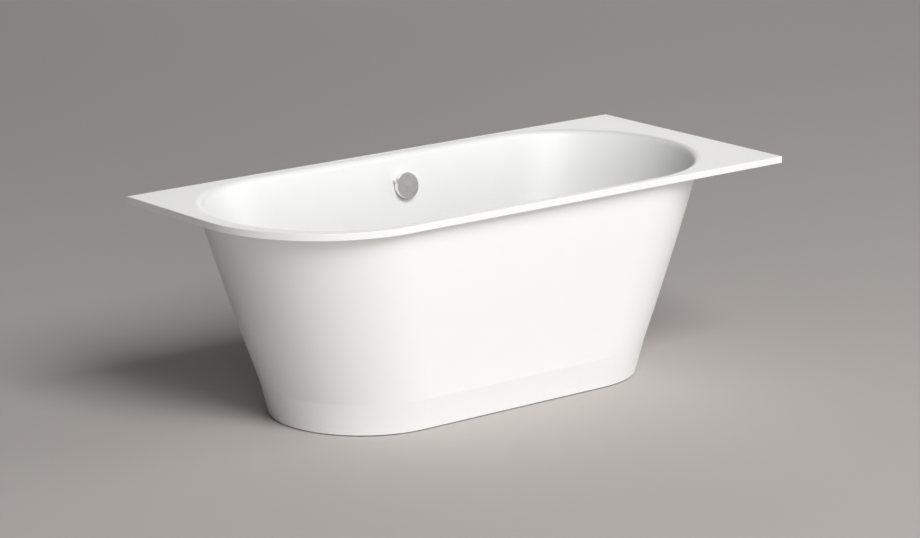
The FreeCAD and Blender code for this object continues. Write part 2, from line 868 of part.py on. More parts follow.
def skirt_face(height):
    """Distance from the middle of the tub to the inner face of the skirt beside a bracket."""
    radius = SKIRT_RADIUS + (height - s.plinth_height) * SKIRT_SLOPE
    straight = SKIRT_LENGTH / 2 - SKIRT_RADIUS
    beyond = larger(s.crossbar_offset + s.bracket_width / 2 - straight, as_size(0))
    return root(radius * radius - beyond * beyond)


def apron_brackets():
    """Angle plates from the crossbar ends to the inner face of the skirt."""
    screws = []
    low = RAIL_UNDERSIDE
    high = low + s.bracket_thick
    top = low + s.bracket_rise
    foot_y = skirt_face(low) - s.bracket_gap
    top_y = skirt_face(top) - s.bracket_gap
    inner = CROSSBAR_REACH - s.bracket_seat
    for end_name, end in CROSSBAR_ENDS:
        for side_name, side in RAIL_SIDES:
            name = "apron_bracket_" + side_name + "_" + end_name
            x = OVAL_CENTRE + s.crossbar_offset * end
            outline = [
                (inner * side, low), (foot_y * side, low), (top_y * side, top),
                ((top_y - s.bracket_thick) * side, top),
                ((foot_y + s.bracket_thick * SKIRT_SLOPE - s.bracket_thick) * side, high),
                (inner * side, high),
            ]
            plate = extruded(name + "_plate", "YZ_Plane", outline,
                             x - s.bracket_width / 2, s.bracket_width)
            y = bracket_screw_line(side)
            hole = rod(name + "_hole", s.screw_radius, s.bracket_thick + s.overrun,
                       (x, y, low - s.overrun / 2))
            piece(name, cut(name + "_cut", plate, [hole]))
            length = s.bracket_thick + s.crossbar_height
            head = rod("bracket_screw_head", s.screw_head_radius, s.screw_head_height, (x, y, high))
            shank = rod("bracket_screw_shank", s.screw_radius, length, (x, y, high - length))
            screws.append(fuse("bracket_screw", [head, shank]))
    piece("bracket_screws", group("bracket_screw_set", screws))


# Overflow, built round the axis of the knob: Z leaves the rear wall, Y climbs it

PLATE_BACK = -WALL_THROUGH - s.seal_thick
BODY_BACK = PLATE_BACK - s.body_depth
SOCKET_BORE = s.pipe_radius + s.fit_gap
SOCKET_RADIUS = SOCKET_BORE + s.socket_wall
SOCKET_LINE = PLATE_BACK - s.socket_depth


def overflow_knob():
    disc_back = s.knob_depth - s.knob_wall
    hub_start = s.trim_thick + s.knob_wall
    disc = turned("knob_disc", [
        (s.spindle_radius, hub_start), (s.knob_hub, hub_start), (s.knob_hub, disc_back),
        (s.knob_radius - s.knob_wall, disc_back), (s.knob_radius - s.knob_wall, s.knob_lift),
        (s.knob_radius, s.knob_lift), (s.knob_radius, s.knob_depth - s.knob_chamfer),
        (s.knob_radius - s.knob_chamfer, s.knob_depth), (0, s.knob_depth),
        (0, disc_back - s.fit_gap), (s.spindle_radius, disc_back - s.fit_gap),
    ])
    lug_circle = s.knob_radius + s.lug_reach
    across = lug_circle * cosine(s.lug_angle)
    up = lug_circle * sine(s.lug_angle)
    start = s.knob_lift + s.knob_wall
    lug = rod("knob_lug", s.lug_radius, s.knob_depth - s.knob_chamfer - start, (across, up, start))
    room = rod("knob_room", s.knob_radius - s.knob_wall, disc_back - s.knob_lift,
               (0, 0, s.knob_lift))
    lug_outside = cut("knob_lug_outside", lug, [room])
    piece("overflow_knob", at_wall(fuse("knob", [disc, lug_outside])))


def around_inlets(radius, start, length):
    """Rods through the water inlets, evenly spaced round the knob's axis."""
    rods = []
    for index in range(INLET_COUNT):
        turn = as_size(FULL_TURN * (index + 0.5) / INLET_COUNT)
        place = (s.inlet_circle * cosine(turn), s.inlet_circle * sine(turn), start)
        rods.append(rod("inlet_drill", radius, length, place))
    return rods


def trim_and_screws():
    plate = rod("trim_plate", s.trim_radius, s.trim_thick, (0, 0, 0))
    reach = s.trim_thick + s.overrun
    drills = around_inlets(s.inlet_radius, -s.overrun / 2, reach)
    drills.append(rod("trim_bore", s.spindle_radius + s.thread_clearance, reach,
                      (0, 0, -s.overrun / 2)))
    screws = []
    for side in (-1, 1):
        across = s.inlet_circle * side
        drills.append(rod("trim_screw_drill", s.trim_screw_radius, reach,
                          (across, 0, -s.overrun / 2)))
        head = rod("trim_screw_head", s.trim_screw_head, s.trim_screw_radius,
                   (across, 0, s.trim_thick))
        shank = rod("trim_screw_shank", s.trim_screw_radius, s.trim_screw_length,
                    (across, 0, s.trim_thick - s.trim_screw_length))
        screws.append(fuse("trim_screw", [head, shank]))
    piece("overflow_trim", at_wall(cut("trim", plate, drills)))
    piece("trim_screws", at_wall(group("trim_screw_set", screws)))


def overflow_seal():
    seal = ring("overflow_seal_ring", s.overflow_hole, s.body_radius, PLATE_BACK, -WALL_THROUGH)
    piece("overflow_seal", at_wall(seal))


def overflow_body():
    case = rod("body_case", s.body_radius, s.body_depth, (0, 0, BODY_BACK))
    socket = rod("body_socket", SOCKET_RADIUS, s.socket_reach, (0, 0, SOCKET_LINE), "-y")
    port_start = s.body_radius - s.body_wall
    wire_place = (port_start, -s.wire_line, -s.wire_depth)
    port = rod("wire_port", s.wire_port_radius, s.wire_port_length, wire_place, "x")
    solid = fuse("body_solid", [case, socket, port])
    room_length = s.body_depth - s.body_wall + s.overrun
    room = rod("body_room", s.body_radius - s.body_wall, room_length,
               (0, 0, BODY_BACK - s.overrun))
    drain = rod("body_drain", SOCKET_BORE, s.socket_reach + s.overrun, (0, 0, SOCKET_LINE), "-y")
    wire = rod("wire_bore", s.wire_bore, s.wire_port_length + s.overrun,
               (port_start - s.overrun / 2, -s.wire_line, -s.wire_depth), "x")
    case_cut = cut("body_hollow", solid, [room, drain, wire])
    plate_inner = PLATE_BACK - s.body_wall
    hub = rod("body_hub", s.spindle_radius + s.hub_wall, s.hub_length,
              (0, 0, plate_inner - s.hub_length))
    bosses = [rod("body_boss", s.boss_radius, s.boss_length,
                  (s.inlet_circle * side, 0, plate_inner - s.boss_length)) for side in (-1, 1)]
    whole = fuse("body_with_bosses", [case_cut, hub] + bosses)
    start = plate_inner - s.overrun
    through = s.body_wall + s.overrun * 2
    drills = around_inlets(s.inlet_radius, plate_inner - s.fit_gap, through)
    drills.append(rod("spindle_bore", s.spindle_radius + s.thread_clearance, through, (0, 0, start)))
    for side in (-1, 1):
        drills.append(rod("boss_drill", s.trim_screw_radius, s.trim_screw_length,
                          (s.inlet_circle * side, 0, s.trim_thick - s.trim_screw_length)))
    piece("overflow_body", at_wall(cut("overflow_body_cut", whole, drills)))


def overflow_cap():
    bore = s.spindle_radius + s.thread_clearance
    inner = BODY_BACK + s.body_wall
    seat = s.body_radius - s.body_wall - s.fit_gap
    cap = turned("cap_disc", [
        (0, BODY_BACK), (seat, BODY_BACK), (seat, inner), (s.knob_hub, inner),
        (s.knob_hub, inner + s.hub_length), (bore, inner + s.hub_length), (bore, inner), (0, inner),
    ])
    piece("overflow_cap", at_wall(cap))


def spindle_and_drum():
    start = BODY_BACK + s.body_wall + s.working_gap
    end = s.knob_depth - s.knob_wall - s.fit_gap
    spindle = rod("spindle", s.spindle_radius, end - start, (0, 0, start))
    piece("control_spindle", at_wall(group("spindle_place", [spindle])))
    floor = s.wire_line - s.wire_radius - s.wire_gap
    middle = -s.wire_depth
    half = s.drum_width / 2
    groove = s.groove_width / 2
    drum = turned("drum", [
        (s.spindle_radius, middle - half), (s.drum_radius, middle - half),
        (s.drum_radius, middle - groove), (floor, middle - groove), (floor, middle + groove),
        (s.drum_radius, middle + groove), (s.drum_radius, middle + half),
        (s.spindle_radius, middle + half),
    ])
    piece("cable_drum", at_wall(drum))


def overflow_union():
    """Union nut and cone seal where the overflow pipe enters its socket."""
    piece("overflow_union_nut", at_wall(union_nut(
        "overflow_nut", SOCKET_RADIUS, s.pipe_radius, s.nut_wall, (0, -s.socket_reach, SOCKET_LINE), "-y")))
    seal = ring("overflow_cone", s.pipe_radius, SOCKET_RADIUS, 0, s.cone_length)
    seal = move(seal, (0, -s.socket_reach, SOCKET_LINE), "-y")
    piece("overflow_cone_seal", at_wall(group("overflow_cone_set", [seal])))


def union_nut(name, socket_radius, pipe_radius, wall, mouth, turn):
    """Nut that grips a socket's end at the mouth and closes on the pipe beyond it."""
    grip = socket_radius + s.fit_gap
    bore = pipe_radius + s.fit_gap
    overlap = s.nut_length / 2
    nut = turned(name, [
        (grip, -overlap), (grip + wall, -overlap), (grip + wall, overlap),
        (bore, overlap), (bore, s.cone_length), (grip, s.cone_length),
    ])
    return group(name + "_set", [move(nut, mouth, turn)])


# Runs of pipe and cable

def rounded_path(points, radii):
    """Wire of straight runs joined by tangent arcs, one radius for each inner point."""
    edges = []
    last = points[0]
    for before, corner, after, radius in zip(points, points[1:], points[2:], radii):
        arriving = (corner - before).normalize()
        leaving = (after - corner).normalize()
        half_turn = arriving.getAngle(leaving) / 2
        reach = radius * math.tan(half_turn)
        start = corner - arriving * reach
        end = corner + leaving * reach
        towards = (leaving - arriving).normalize()
        middle = corner + towards * (radius / math.cos(half_turn) - radius)
        edges.append(Part.LineSegment(last, start).toShape())
        edges.append(Part.Arc(start, middle, end).toShape())
        last = end
    edges.append(Part.LineSegment(last, points[-1]).toShape())
    return Part.Wire(edges)


def swept(path, radius):
    """Solid of round section along a path."""
    first = path.Edges[0]
    start = first.valueAt(first.FirstParameter)
    heading = first.tangentAt(first.FirstParameter)
    circle = Part.Wire([Part.makeCircle(radius, start, heading)])
    return path.makePipeShell([circle], True, False)


def hose(node, points, radii, radius, wall):
    """Hollow round tube along a rounded path."""
    thing = document.addObject("Part::Feature", node + "_run")
    path = rounded_path(points, radii)
    thing.Shape = swept(path, radius.value).cut(swept(path, (radius - wall).value))
    thing.Placement = FreeCAD.Placement()
    print(node, "radii", [round(number, 1) for number in radii], "length", round(path.Length, 1))
    return thing


def overflow_pipe():
    start = wall_point(0, s.pipe_insert - s.socket_reach, SOCKET_LINE)
    below = wall_point(0, -s.socket_reach - s.pipe_insert, SOCKET_LINE)
    heading = (below - start).normalize()
    drop = (start.z - s.inlet_height.value) / -heading.z
    corner = start + heading * drop
    end = FreeCAD.Vector(start.x, (s.inlet_reach - s.pipe_insert).value, s.inlet_height.value)
    piece("overflow_pipe", hose("overflow_pipe", [start, corner, end], [s.pipe_bend.value],
                                s.pipe_radius, s.pipe_wall))


def cable():
    """Sheath from the overflow to the waste, its glands and the two moving wire ends."""
    port_end = s.body_radius - s.body_wall + s.wire_port_length
    start = wall_point(port_end, -s.wire_line, -s.wire_depth)
    side = (s.drain_line + s.cable_reach).value
    turn_down = FreeCAD.Vector(side, start.y, start.z)
    along_wall = wall_point(s.cable_reach, -s.wire_line - s.overrun, -s.wire_depth) - turn_down
    height = WIRE_HEIGHT.value
    drop = (height - turn_down.z) / along_wall.z
    turn_in = turn_down + along_wall * drop
    turn_back = FreeCAD.Vector(side, 0, height)
    end = FreeCAD.Vector((s.drain_line + s.lifter_port_reach).value, 0, height)
    points = [start, turn_down, turn_in, turn_back, end]
    radii = []
    for before, corner, after in zip(points, points[1:], points[2:]):
        half_turn = (corner - before).getAngle(after - corner) / 2
        shorter = min((corner - before).Length, (after - corner).Length)
        radii.append(BEND_SHARE * shorter / math.tan(half_turn))
    piece("cable_sheath", hose("cable_sheath", points, radii, s.sheath_radius,
                               s.sheath_radius - s.wire_bore))
    gland = [(s.sheath_radius, 0), (s.gland_radius, 0), (s.gland_radius, s.gland_length),
             (s.sheath_radius, s.gland_length)]
    upper = move(turned("upper_gland", gland), (port_end, -s.wire_line, -s.wire_depth), "x")
    piece("cable_gland_upper", at_wall(group("upper_gland_set", [upper])))
    lower = turned("lower_gland", gland)
    piece("cable_gland_lower", at_waste(lower, "x", WIRE_HEIGHT, s.lifter_port_reach))
    wire = rod("upper_wire", s.wire_radius, port_end + s.wire_tail,
               (0, -s.wire_line, -s.wire_depth), "x")
    piece("cable_core_upper", at_wall(group("upper_wire_set", [wire])))


def clips():
    """Clips that hold the cable to the wall and below the rear rail."""
    half = s.clip_size / 2
    x = s.drain_line + s.cable_reach
    bore = s.sheath_radius + s.fit_gap
    rail_block = block("clip_block", (x - half, RAIL_OFFSET - half, WIRE_HEIGHT - half),
                       (x + half, RAIL_OFFSET + half, RAIL_UNDERSIDE))
    rail_bore = rod("clip_bore", bore, s.clip_size + s.overrun,
                    (x, RAIL_OFFSET - half - s.overrun / 2, WIRE_HEIGHT), "y")
    wall_block = block("wall_clip_block", (s.cable_reach - half, -s.clip_drop, -s.wire_depth - half),
                       (s.cable_reach + half, s.clip_size - s.clip_drop, -WALL_THROUGH))
    wall_bore = rod("wall_clip_bore", bore, s.clip_size + s.overrun,
                    (s.cable_reach, -s.clip_drop - s.overrun / 2, -s.wire_depth), "y")
    rail_clip = cut("rail_clip", rail_block, [rail_bore])
    wall_clip = at_wall(cut("wall_clip", wall_block, [wall_bore]))
    piece("cable_clips", group("cable_clip_set", [rail_clip, wall_clip]))


# Waste below the floor of the basin

FLANGE_TOP = FLOOR_TOP + s.flange_proud
FLANGE_SEAT = FLANGE_TOP - s.flange_thick
NECK_FOOT = FLANGE_SEAT - s.flange_neck_length
HEAD_TOP = FLOOR_UNDERSIDE - s.seal_thick
DIP_OUTER = s.dip_radius + s.trap_wall


def waste_flange():
    collar = turned("flange_collar", [
        (s.flange_bore, NECK_FOOT), (s.flange_neck, NECK_FOOT), (s.flange_neck, FLANGE_SEAT),
        (s.flange_radius, FLANGE_SEAT), (s.flange_radius, FLANGE_TOP - s.flange_proud),
        (s.flange_radius - s.flange_proud, FLANGE_TOP),
        (s.flange_bore + s.flange_thick, FLANGE_TOP),
        (s.flange_bore, FLANGE_TOP - s.flange_proud),
    ])
    spider = NECK_FOOT + s.spider_rise
    arms = []
    for index in range(ARM_COUNT):
        turn = as_size(FULL_TURN * index / ARM_COUNT)
        arm = block("flange_arm", (0, 0, 0),
                    (s.flange_bore + s.fit_gap, s.spider_arm, s.spider_height))
        place = (s.spider_arm / 2 * sine(turn), s.spider_arm / -2 * cosine(turn), spider)
        move(arm, place)
        bind(arm, "Placement.Rotation.Angle", turn)
        arms.append(arm)
    hub = rod("flange_hub", s.knob_hub, s.spider_height, (0, 0, spider))
    whole = fuse("flange_whole", [collar, hub] + arms)
    bore = rod("flange_guide", s.spindle_radius + s.thread_clearance, s.spider_height + s.overrun,
               (0, 0, spider - s.overrun / 2))
    piece("waste_flange", at_waste(cut("flange_cut", whole, [bore])))


def waste_seals():
    top = ring("top_seal", s.flange_neck + s.fit_gap, s.flange_radius - s.flange_proud,
               FLANGE_SEAT - s.top_seal_thick, FLANGE_SEAT)
    piece("waste_top_seal", at_waste(top))
    bottom = ring("bottom_seal", s.waste_hole, s.head_radius, HEAD_TOP, FLOOR_UNDERSIDE)
    piece("waste_bottom_seal", at_waste(bottom))


def waste_body():
    """Head, neck and bottle trap with its dip tube and three ports."""
    head = rod("waste_head", s.head_radius, s.head_thick, (0, 0, HEAD_TOP - s.head_thick))
    neck = rod("waste_neck", s.neck_radius, HEAD_TOP - s.trap_top, (0, 0, s.trap_top))
    case = rod("trap_case", s.trap_radius, s.trap_top - s.trap_foot, (0, 0, s.trap_foot))
    outlet_socket = s.outlet_radius + s.fit_gap + s.socket_wall
    outlet_port = rod("outlet_port", outlet_socket, s.outlet_reach, (0, 0, s.outlet_height), "-x")
    outside = fuse("waste_outside", [head, neck, case, outlet_port])
    room = rod("trap_room", s.trap_radius - s.trap_wall, s.trap_top - s.trap_wall - s.trap_foot + s.overrun,
               (0, 0, s.trap_foot - s.overrun))
    outlet_bore = rod("outlet_bore", s.outlet_radius + s.fit_gap, s.outlet_reach + s.overrun,
                      (0, 0, s.outlet_height), "-x")
    hollow = cut("waste_hollow", outside, [room, outlet_bore])
    dip = rod("dip_tube", DIP_OUTER, s.trap_top - s.dip_foot, (0, 0, s.dip_foot))
    inlet_port = rod("inlet_port", SOCKET_RADIUS, s.inlet_reach, (0, 0, s.inlet_height), "y")
    lifter_port = rod("lifter_port", s.lifter_port_radius, s.lifter_port_reach,
                      (0, 0, WIRE_HEIGHT), "x")
    whole = fuse("waste_whole", [hollow, dip, inlet_port, lifter_port])
    below = s.trap_top + s.fit_gap - s.dip_foot + s.overrun
    bore = rod("dip_bore", s.dip_radius, below + s.socket_wall, (0, 0, s.dip_foot - s.overrun))
    thread = rod("neck_bore", s.flange_neck, HEAD_TOP - s.trap_top,
                 (0, 0, s.trap_top + s.socket_wall))
    inlet_bore = rod("inlet_bore", SOCKET_BORE, s.inlet_reach + s.overrun,
                     (0, 0, s.inlet_height), "y")
    lifter_bore = rod("lifter_bore", s.lifter_port_bore, s.lifter_port_reach - s.lifter_port_end,
                      (0, 0, WIRE_HEIGHT), "x")
    wire_bore = rod("lifter_wire_bore", s.wire_bore, s.lifter_port_reach + s.overrun,
                    (0, 0, WIRE_HEIGHT), "x")
    axle_hole = rod("axle_hole", s.axle_radius, s.axle_bite * 2,
                    (-s.axle_offset, -s.axle_bite, s.axle_height), "y")
    tools = [bore, thread, inlet_bore, lifter_bore, wire_bore, axle_hole]
    piece("waste_body", at_waste(cut("waste_body_cut", whole, tools)))


def trap_cup():
    bore = s.trap_radius + s.fit_gap
    wall = bore + s.cup_wall
    floor = s.trap_foot - s.cup_seal_thick
    foot = floor - s.cup_floor
    cup = turned("cup", [
        (0, foot), (wall, foot), (wall, foot + s.cup_height), (bore, foot + s.cup_height),
        (bore, floor), (0, floor),
    ])
    piece("trap_cup", at_waste(cup))
    seal = ring("cup_seal_ring", s.trap_radius - s.trap_wall, s.trap_radius, floor, s.trap_foot)
    piece("cup_seal", at_waste(seal))


# Drain plug, its stem and the rocker that lifts it

LIFT_DROP = s.rocker_lift_arm * sine(s.rocker_lean)
STEM_FOOT = s.axle_height - LIFT_DROP + s.rocker_thick / 2 / cosine(s.rocker_lean) + s.working_gap


def drain_plug():
    seal_low = FLANGE_TOP + s.plug_gap
    cap_low = seal_low + s.plug_seal_thick
    cap_top = cap_low + s.plug_thick
    stem_top = cap_low + s.plug_thick / 2
    cap = turned("plug_cap", [
        (s.spindle_radius, cap_low), (s.plug_radius, cap_low),
        (s.plug_radius, cap_top - s.plug_chamfer), (s.plug_radius - s.plug_chamfer, cap_top),
        (0, cap_top), (0, stem_top), (s.spindle_radius, stem_top),
    ])
    piece("drain_plug", at_waste(cap))
    seal = ring("plug_seal_ring", s.plug_seal_inner, s.plug_seal_outer, seal_low, cap_low)
    piece("plug_seal", at_waste(seal))
    stem = turned("stem", [
        (0, STEM_FOOT), (s.stem_tip, STEM_FOOT), (s.spindle_radius, STEM_FOOT + s.stem_taper),
        (s.spindle_radius, stem_top), (0, stem_top),
    ])
    piece("plug_stem", at_waste(stem))


def rocker():
    """Bell crank on its axle: one arm below the stem, a forked arm that the wire pulls."""
    hub_radius = s.axle_radius * 2
    half = s.rocker_width / 2
    hub = rod("rocker_hub", hub_radius, s.rocker_width, (0, -half, 0), "y")
    lift = block("rocker_lift", (0, -half, s.rocker_thick / -2),
                 (s.rocker_lift_arm + s.axle_radius, half, s.rocker_thick / 2))
    pull = block("rocker_pull", (s.rocker_thick / -2, -half, -s.rocker_pull_arm - s.rocker_slot),
                 (s.rocker_thick / 2, half, 0))
    slot_half = s.wire_radius + s.working_gap
    slot = block("rocker_fork",
                 (-s.rocker_thick, -slot_half, -s.rocker_pull_arm - s.rocker_slot * 2),
                 (s.rocker_thick, slot_half, s.rocker_slot - s.rocker_pull_arm))
    bore = rod("rocker_bore", s.axle_radius + s.thread_clearance, s.rocker_width + s.overrun,
               (0, -half - s.overrun / 2, 0), "y")
    lever = cut("rocker_cut", fuse("rocker_solid", [hub, lift, pull]), [slot, bore])
    tilted = group("rocker_tilted", [lever])
    tilted.Placement = FreeCAD.Placement(FreeCAD.Vector(), TURNS["x"])
    bind(tilted, "Placement.Rotation.Angle", s.rocker_lean)
    piece("lifter_rocker", at_waste(group("rocker_place", [tilted]), height=s.axle_height,
                                    across=-s.axle_offset))
    axle = rod("axle", s.axle_radius, s.axle_bite * 2, (0, 0, 0))
    piece("rocker_axle", at_waste(axle, "y", s.axle_height, -s.axle_offset, -s.axle_bite))
    fork_x = -s.axle_offset - s.rocker_pull_arm * sine(s.rocker_lean)
    lean_share = sine(s.rocker_lean) / cosine(s.rocker_lean)
    face = (fork_x - s.rocker_thick / 2 / cosine(s.rocker_lean) - s.nipple_radius * lean_share
            - s.working_gap)
    nipple = rod("nipple", s.nipple_radius, s.nipple_length, (face - s.nipple_length, 0, 0), "x")
    wire = rod("lower_wire", s.wire_radius, s.lifter_port_reach + s.wire_tail - face,
               (face - s.working_gap, 0, 0), "x")
    piece("cable_core_lower", at_waste(fuse("lower_wire_end", [nipple, wire]), height=WIRE_HEIGHT))


# Unions and the way out

def inlet_union():
    nut = union_nut("inlet_nut", SOCKET_RADIUS, s.pipe_radius, s.nut_wall, (0, s.inlet_reach, 0), "y")
    piece("inlet_union_nut", at_waste(nut, height=s.inlet_height))
    seal = ring("inlet_cone", s.pipe_radius, SOCKET_RADIUS, 0, s.cone_length)
    piece("inlet_cone_seal", at_waste(seal, "y", s.inlet_height, 0, s.inlet_reach))


def outlet_pipe():
    """Pipe to the wall, with a stop bead that ends its free spigot."""
    start = s.bell_end - s.bell_overlap
    length = s.tub_width / 2 - s.outlet_setback - start
    bore = s.outlet_radius - s.pipe_wall
    bead = s.outlet_radius + s.bead_height
    stop = length - s.spigot_length
    pipe = turned("pipe_tube", [
        (bore, 0), (s.outlet_radius, 0), (s.outlet_radius, stop - s.bead_width),
        (bead, stop - s.bead_width), (bead, stop), (s.outlet_radius, stop),
        (s.outlet_radius, length), (bore, length),
    ])
    return at_waste(pipe, "y", s.outlet_height, -s.outlet_side, start)


def outlet():
    socket = s.outlet_radius + s.fit_gap + s.socket_wall
    nut = union_nut("outlet_nut", socket, s.outlet_radius, s.nut_wall, (-s.outlet_reach, 0, 0), "-x")
    piece("outlet_union_nut", at_waste(nut, height=s.outlet_height))
    seal = ring("outlet_cone", s.outlet_radius, socket, 0, s.cone_length)
    piece("outlet_seal", at_waste(seal, "-x", s.outlet_height, -s.outlet_reach))
    across = s.drain_line - s.outlet_side
    height = s.outlet_height.value
    start = FreeCAD.Vector((s.drain_line - s.outlet_reach + s.outlet_insert).value, 0, height)
    corner = FreeCAD.Vector(across.value, 0, height)
    end = FreeCAD.Vector(across.value, s.bell_start.value, height)
    elbow = document.addObject("Part::Feature", "elbow_run")
    path = rounded_path([start, corner, end], [s.outlet_bend.value])
    elbow.Shape = swept(path, s.outlet_radius.value)
    inside = document.addObject("Part::Feature", "elbow_inside")
    inside.Shape = swept(path, (s.outlet_radius - s.pipe_wall).value)
    bell = rod("elbow_bell", socket, s.bell_end - s.bell_start,
               (across, s.bell_start, s.outlet_height), "y")
    mouth = rod("elbow_mouth", s.outlet_radius + s.fit_gap, s.bell_overlap + s.overrun,
                (across, s.bell_end - s.bell_overlap, s.outlet_height), "y")
    throat = rod("elbow_throat", s.outlet_radius - s.pipe_wall, s.bell_end - s.bell_start,
                 (across, s.bell_start - s.fit_gap, s.outlet_height), "y")
    whole = cut("elbow_cut", fuse("elbow_whole", [elbow, bell]), [inside, throat, mouth])
    piece("outlet_elbow", whole)
    piece("outlet_pipe", outlet_pipe())


def pipe_clip():
    """Ring round the outlet pipe, behind the elbow, that hangs from the rear rail."""
    x = s.drain_line - s.outlet_side
    half = s.pipe_clip_width / 2
    line = larger(RAIL_OFFSET, s.bell_end + s.working_gap + half)
    start = line - half
    end = line + half
    outer = s.outlet_radius + s.fit_gap + s.trap_wall
    strap = rod("clip_strap", outer, s.pipe_clip_width, (x, start, s.outlet_height), "y")
    stem = block("clip_stem", (x - s.clip_size / 2, start, s.outlet_height),
                 (x + s.clip_size / 2, end, RAIL_UNDERSIDE))
    seat = block("clip_seat", (x - s.clip_size / 2, RAIL_OFFSET - half,
                               s.outlet_height + outer + s.working_gap),
                 (x + s.clip_size / 2, end, RAIL_UNDERSIDE))
    bore = rod("clip_pipe_bore", s.outlet_radius + s.fit_gap, s.pipe_clip_width + s.overrun,
               (x, start - s.overrun / 2, s.outlet_height), "y")
    piece("pipe_clip", cut("pipe_clip_cut", fuse("pipe_clip_whole", [strap, stem, seat]), [bore]))


def check():
    """Stop before anything is written if an object failed or a piece is not a valid solid."""
    for thing in document.Objects:
        if "Invalid" in thing.State or "Error" in thing.State:
            raise RuntimeError("failed: %s %s" % (thing.Name, thing.getStatusString()))
    if len(pieces) > NODE_LIMIT:
        raise RuntimeError("too many nodes: %d" % len(pieces))
    for thing in pieces:
        if thing.Shape.isNull() or not thing.Shape.isValid() or not thing.Shape.Solids:
            raise RuntimeError("bad shape: " + thing.Label)


tub_shell()
deck_board()
base_board()
apron()
rails()
crossbars()
frame_fasteners()
feet()
apron_brackets()
overflow_knob()
trim_and_screws()
overflow_seal()
overflow_body()
overflow_cap()
spindle_and_drum()
overflow_union()
overflow_pipe()
cable()
clips()
waste_flange()
waste_seals()
waste_body()
trap_cup()
drain_plug()
rocker()
inlet_union()
outlet()
pipe_clip()

document.recompute()
check()
os.makedirs("parts", exist_ok=True)
for thing in pieces:
    thing.Shape.exportStep("parts/%s.step" % thing.Label)
print("nodes", len(pieces))
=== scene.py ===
import json
import math

import bmesh
import bpy
from mathutils import Euler, Matrix, Vector

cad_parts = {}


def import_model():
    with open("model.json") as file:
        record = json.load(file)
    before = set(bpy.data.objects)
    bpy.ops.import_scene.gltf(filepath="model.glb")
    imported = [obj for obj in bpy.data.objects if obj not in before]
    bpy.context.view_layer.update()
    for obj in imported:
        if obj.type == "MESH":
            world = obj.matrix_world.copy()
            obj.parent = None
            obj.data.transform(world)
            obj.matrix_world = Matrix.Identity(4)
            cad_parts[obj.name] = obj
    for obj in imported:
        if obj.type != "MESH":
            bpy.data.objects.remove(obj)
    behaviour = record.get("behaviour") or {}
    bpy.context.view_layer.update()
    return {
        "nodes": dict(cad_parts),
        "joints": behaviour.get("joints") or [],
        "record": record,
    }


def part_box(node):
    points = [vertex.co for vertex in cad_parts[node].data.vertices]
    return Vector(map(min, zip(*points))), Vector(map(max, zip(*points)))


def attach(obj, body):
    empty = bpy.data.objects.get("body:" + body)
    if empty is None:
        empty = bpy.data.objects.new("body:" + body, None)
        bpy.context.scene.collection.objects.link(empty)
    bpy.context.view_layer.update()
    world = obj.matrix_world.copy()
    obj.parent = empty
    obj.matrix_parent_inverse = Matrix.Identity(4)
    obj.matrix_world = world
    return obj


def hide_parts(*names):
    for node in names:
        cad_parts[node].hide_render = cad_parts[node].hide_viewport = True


# Built-in bathtub: finishes, threaded foot studs, floor, lamps and camera.
# Metres, Z up. The origin lies on the floor below the middle of the deck.

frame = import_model()

# Camera

CAMERA_PLACE = (-5.856, -7.251, 2.708)
CAMERA_HEADING = math.radians(-38.88)
CAMERA_PITCH = math.radians(-14.276)
CAMERA_ROLL = math.radians(-0.1)
CAMERA_LENS_MM = 136.44
SENSOR_WIDTH_MM = 36.0
CLIP_FAR = 200.0

# Square lamps on a sphere round the tub: where the light comes from, in degrees, width and power

LAMPS = {
    "key": {"azimuth": -98, "elevation": 45, "width": 6.5, "watts": 1268},
    "front": {"azimuth": -110, "elevation": 19, "width": 7.2, "watts": 262},
    "low_front": {"azimuth": -118, "elevation": 6, "width": 2.9, "watts": 251},
    "right": {"azimuth": -27, "elevation": 14, "width": 7.2, "watts": 430},
    "back": {"azimuth": 53, "elevation": 13, "width": 7.2, "watts": 234},
}
LAMP_DISTANCE = 13.0
LAMP_AIM = (0.0, 0.0, 0.3)
LAMP_COLOUR = (1.0, 1.0, 0.995)

# World: its dim light, and the plain background that the camera and mirrored or bent rays see

WORLD_COLOUR = (1.0, 0.99, 0.98)
WORLD_STRENGTH = 0.012
BACKGROUND_COLOUR = (0.30, 0.28, 0.27)

# Floor

FLOOR_RADIUS = 60.0
FLOOR_SEGMENTS = 128

# Foot studs: metric thread, 12 mm across. Flank and crest are shares of one pitch.

FEET = ("front_left", "front_right", "rear_left", "rear_right")
THREAD_PITCH = 0.00175
THREAD_DEPTH = 0.0009
THREAD_SEGMENTS = 24
FLANK_SHARE = 0.375
CREST_SHARE = 0.125
STUD_CHAMFER = 0.001
MERGE_DISTANCE = 0.000001

# Places in one pitch where the thread's profile bends, and whether each lies at the root
THREAD_PROFILE = (
    (0.0, True),
    (FLANK_SHARE, False),
    (FLANK_SHARE + CREST_SHARE, False),
    (2 * FLANK_SHARE + CREST_SHARE, True),
)

# Finishes. Texture scales are features for each metre, depths are metres, and shades are shares
# of the finish's own colour. A roughness of two values goes with the low and the high end of
# its texture.

TUB_WHITE = (0.905, 0.905, 0.903)
# The skirt's white is lighter than the tub's white. The extra lightness is painted light that
# brightens the skirt, which leans down and away from the lamps.
SKIRT_WHITE_WITH_PAINTED_LIGHT = (0.925, 0.93, 0.936)
TUB_COAT = 0.15
SKIRT_COAT = 0.1
ACRYLIC_IOR = 1.49
ACRYLIC_MEAN_ROUGHNESS = 0.4
ACRYLIC_ROUGHNESS = (0.38, 0.43)
ACRYLIC_COAT_ROUGHNESS = 0.28
ACRYLIC_PATCH_SCALE = 2.0
ACRYLIC_PATCH_DETAIL = 1.0
ACRYLIC_PATCH_SHADE = 0.99
ACRYLIC_WAVE_SCALE = 9.0
ACRYLIC_WAVE_DETAIL = 0.0
ACRYLIC_WAVE_DEPTH = 0.00015

